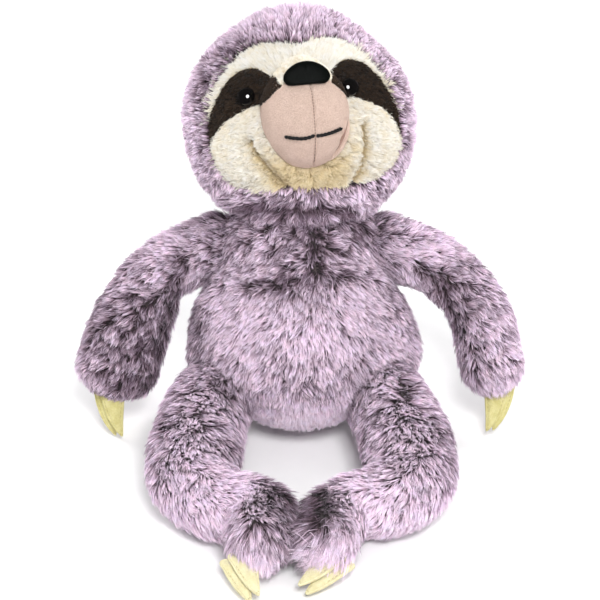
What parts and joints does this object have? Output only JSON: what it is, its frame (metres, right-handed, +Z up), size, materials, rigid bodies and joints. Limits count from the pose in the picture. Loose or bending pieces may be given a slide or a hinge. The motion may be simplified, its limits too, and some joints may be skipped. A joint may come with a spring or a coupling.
{
  "type": "plush sloth",
  "caption": "Seated soft toy sloth in long lilac plush, with a cream face, dark eye patches, a peach muzzle, hanging arms, bent legs and flat felt claws.",
  "frame": {"origin": "on the floor, in the flat patch that the rump rests on, on the sloth's middle plane", "axes": "+Z up, -Y to the front where the sloth looks and its feet point, +X to the right of a viewer in front of it"},
  "size_m": [0.3099, 0.3301, 0.2825],
  "materials": {
    "lilac_plush": "long pile, dark at the root and pale lilac at the tip",
    "cream_plush": "short pile",
    "brown_plush": "short pile",
    "peach_velour": "velour",
    "black_velour": "velour",
    "black_thread": "embroidery thread",
    "black_plastic": "polished",
    "white_plastic": "plain",
    "yellow_felt": "felt",
    "polyester_stuffing": "loose fibre",
    "seam_cloth": "woven backing, rolled and stitched"
  },
  "bodies": {
    "torso": {"torso_skin": "lilac_plush", "torso_stuffing": "polyester_stuffing"},
    "neck": {"neck_seam": "seam_cloth"},
    "head": {"head_skin": "lilac_plush", "head_stuffing": "polyester_stuffing", "face_panel": "cream_plush", "eye_patch_left": "brown_plush", "eye_patch_right": "brown_plush", "eye_left": "black_plastic", "eye_right": "black_plastic", "eye_washer_left": "white_plastic", "eye_washer_right": "white_plastic", "muzzle_skin": "peach_velour", "muzzle_stuffing": "polyester_stuffing", "nose": "black_velour", "mouth_left": "black_thread", "mouth_right": "black_thread"},
    "shoulder_left": {"shoulder_seam_left": "seam_cloth"},
    "arm_left": {"arm_skin_left": "lilac_plush", "arm_stuffing_left": "polyester_stuffing", "hand_claw_left_inner": "yellow_felt", "hand_claw_left_outer": "yellow_felt"},
    "shoulder_right": {"shoulder_seam_right": "seam_cloth"},
    "arm_right": {"arm_skin_right": "lilac_plush", "arm_stuffing_right": "polyester_stuffing", "hand_claw_right_inner": "yellow_felt", "hand_claw_right_outer": "yellow_felt"},
    "hip_left": {"hip_seam_left": "seam_cloth"},
    "leg_left": {"leg_skin_left": "lilac_plush", "leg_stuffing_left": "polyester_stuffing", "foot_claw_left_inner": "yellow_felt", "foot_claw_left_outer": "yellow_felt"},
    "hip_right": {"hip_seam_right": "seam_cloth"},
    "leg_right": {"leg_skin_right": "lilac_plush", "leg_stuffing_right": "polyester_stuffing", "foot_claw_right_inner": "yellow_felt", "foot_claw_right_outer": "yellow_felt"}
  },
  "joints": [
    {"name": "head_turn", "type": "hinge", "parent": "torso", "child": "neck", "pos_m": [0, 0.01194, 0.11479], "axis": [0, 0.2079, 0.9781], "range_deg": [-30, 30]},
    {"name": "head_nod", "type": "hinge", "parent": "neck", "child": "head", "pos_m": [0, 0.01194, 0.11479], "axis": [1, 0, 0], "range_deg": [-12, 10]},
    {"name": "arm_left_swing", "type": "hinge", "parent": "torso", "child": "shoulder_left", "pos_m": [-0.057, 0.015, 0.121], "axis": [-1, 0, 0], "range_deg": [-30, 70]},
    {"name": "arm_left_raise", "type": "hinge", "parent": "shoulder_left", "child": "arm_left", "pos_m": [-0.057, 0.015, 0.121], "axis": [0, 1, 0], "range_deg": [0, 25]},
    {"name": "arm_right_swing", "type": "hinge", "parent": "torso", "child": "shoulder_right", "pos_m": [0.057, 0.015, 0.121], "axis": [-1, 0, 0], "range_deg": [-30, 70]},
    {"name": "arm_right_raise", "type": "hinge", "parent": "shoulder_right", "child": "arm_right", "pos_m": [0.057, 0.015, 0.121], "axis": [0, -1, 0], "range_deg": [0, 25]},
    {"name": "leg_left_lift", "type": "hinge", "parent": "torso", "child": "hip_left", "pos_m": [-0.049, -0.034, 0.042], "axis": [-1, 0, 0], "range_deg": [-30, 25]},
    {"name": "leg_left_spread", "type": "hinge", "parent": "hip_left", "child": "leg_left", "pos_m": [-0.049, -0.034, 0.042], "axis": [0, 0, -1], "range_deg": [0, 22]},
    {"name": "leg_right_lift", "type": "hinge", "parent": "torso", "child": "hip_right", "pos_m": [0.049, -0.034, 0.042], "axis": [-1, 0, 0], "range_deg": [-30, 25]},
    {"name": "leg_right_spread", "type": "hinge", "parent": "hip_right", "child": "leg_right", "pos_m": [0.049, -0.034, 0.042], "axis": [0, 0, 1], "range_deg": [0, 22]}
  ]
}
